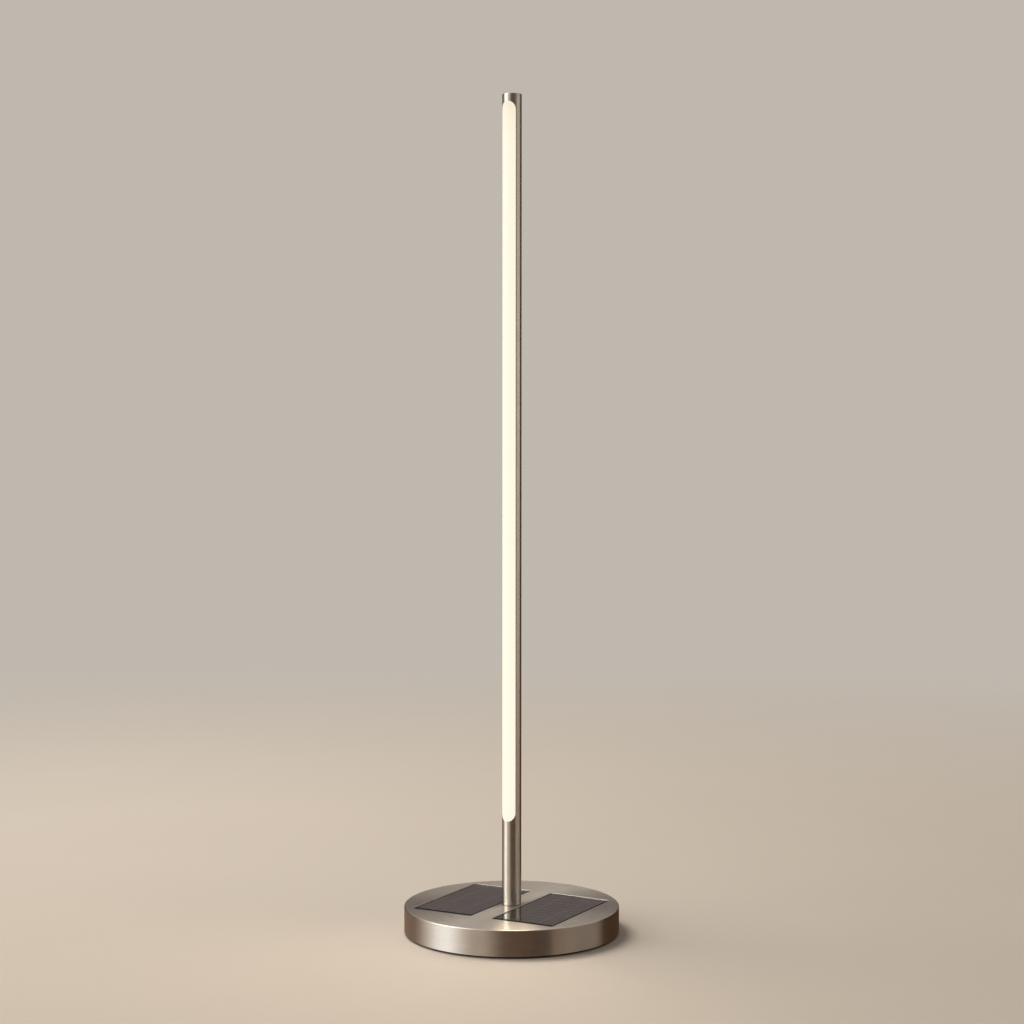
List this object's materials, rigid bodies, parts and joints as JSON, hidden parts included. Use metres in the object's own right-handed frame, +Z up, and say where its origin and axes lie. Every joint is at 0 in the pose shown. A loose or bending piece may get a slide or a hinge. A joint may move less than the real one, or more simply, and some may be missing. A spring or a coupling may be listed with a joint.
{
  "type": "floor lamp",
  "caption": "Slim outdoor floor lamp: a brushed steel tube with a long glowing slot on a round weighted base with flush solar panels.",
  "frame": {"origin": "on the pole's axis, at the ground under the foot ring", "axes": "+Z up along the pole, -Y the way the lit slot faces, +X to the right seen from the front"},
  "size_m": [0.3, 0.3, 1.1635],
  "materials": {
    "brushed_base": "fine straight brushing, satin",
    "brushed_pole": "fine lengthwise brushing, satin",
    "zinc_steel": "zinc plated",
    "turned_steel": "turned",
    "spring_steel": "bright nickel plated",
    "ballast_iron": "as cast, oiled",
    "floor_paint": "black powder coat, fine texture",
    "foot_rubber": "matt",
    "seal_rubber": "matt",
    "opal_plastic": "opal, satin, lit warm white from inside",
    "carrier_aluminium": "extruded, clear anodised",
    "white_board": "white solder mask",
    "light_chip": "phosphor window in a white case",
    "panel_glass": "clear tempered glass",
    "solar_cell": "dark cells with fine silver lines",
    "cell_sheet": "black backing sheet",
    "black_plastic": "moulded, fine spark texture",
    "white_plastic": "moulded, natural white",
    "green_board": "green solder mask",
    "battery_wrap": "shrink sleeve",
    "button_plastic": "satin",
    "lead_jacket": "soft jacket, satin"
  },
  "bodies": {
    "lamp": {"base_cover": "brushed_base", "cover_posts": "zinc_steel", "floor_plate": "floor_paint", "floor_screws": "zinc_steel", "foot_ring": "foot_rubber", "ballast_plate": "ballast_iron", "ballast_screws": "zinc_steel", "stem_bridge": "zinc_steel", "bridge_screws": "zinc_steel", "stem": "zinc_steel", "stem_washer": "zinc_steel", "stem_nut": "zinc_steel", "pole_plug": "turned_steel", "pole_seal": "seal_rubber", "pole_tube": "brushed_pole", "top_cap": "brushed_pole", "cap_seal": "seal_rubber", "light_tube": "opal_plastic", "slot_lens": "opal_plastic", "led_carrier": "carrier_aluminium", "led_strip": "white_board", "led_chips": "light_chip", "panel_glass_left": "panel_glass", "panel_glass_right": "panel_glass", "solar_cells_left": "solar_cell", "solar_cells_right": "solar_cell", "cell_board_left": "cell_sheet", "cell_board_right": "cell_sheet", "panel_tray_left": "black_plastic", "panel_tray_right": "black_plastic", "panel_nuts": "zinc_steel", "board_posts": "zinc_steel", "controller_board": "green_board", "board_screws": "zinc_steel", "board_connectors": "white_plastic", "board_parts": "black_plastic", "battery_holder": "black_plastic", "battery_cells": "battery_wrap", "battery_contacts": "spring_steel", "battery_door": "floor_paint", "door_screws": "zinc_steel", "switch_body": "black_plastic", "switch_terminals": "white_plastic", "switch_seal": "seal_rubber", "switch_nut": "zinc_steel", "return_spring": "spring_steel", "light_lead": "lead_jacket", "battery_lead": "lead_jacket", "panel_lead_left": "lead_jacket", "panel_lead_right": "lead_jacket", "switch_lead": "lead_jacket"},
    "button": {"power_button": "button_plastic"}
  },
  "joints": [
    {"name": "button_press", "type": "slide", "parent": "lamp", "child": "button", "axis": [0, 0, 1], "range_m": [0, 0.002], "stiffness_N_per_m": 400, "springref_m": -0.004, "deforming": ["return_spring"]}
  ]
}
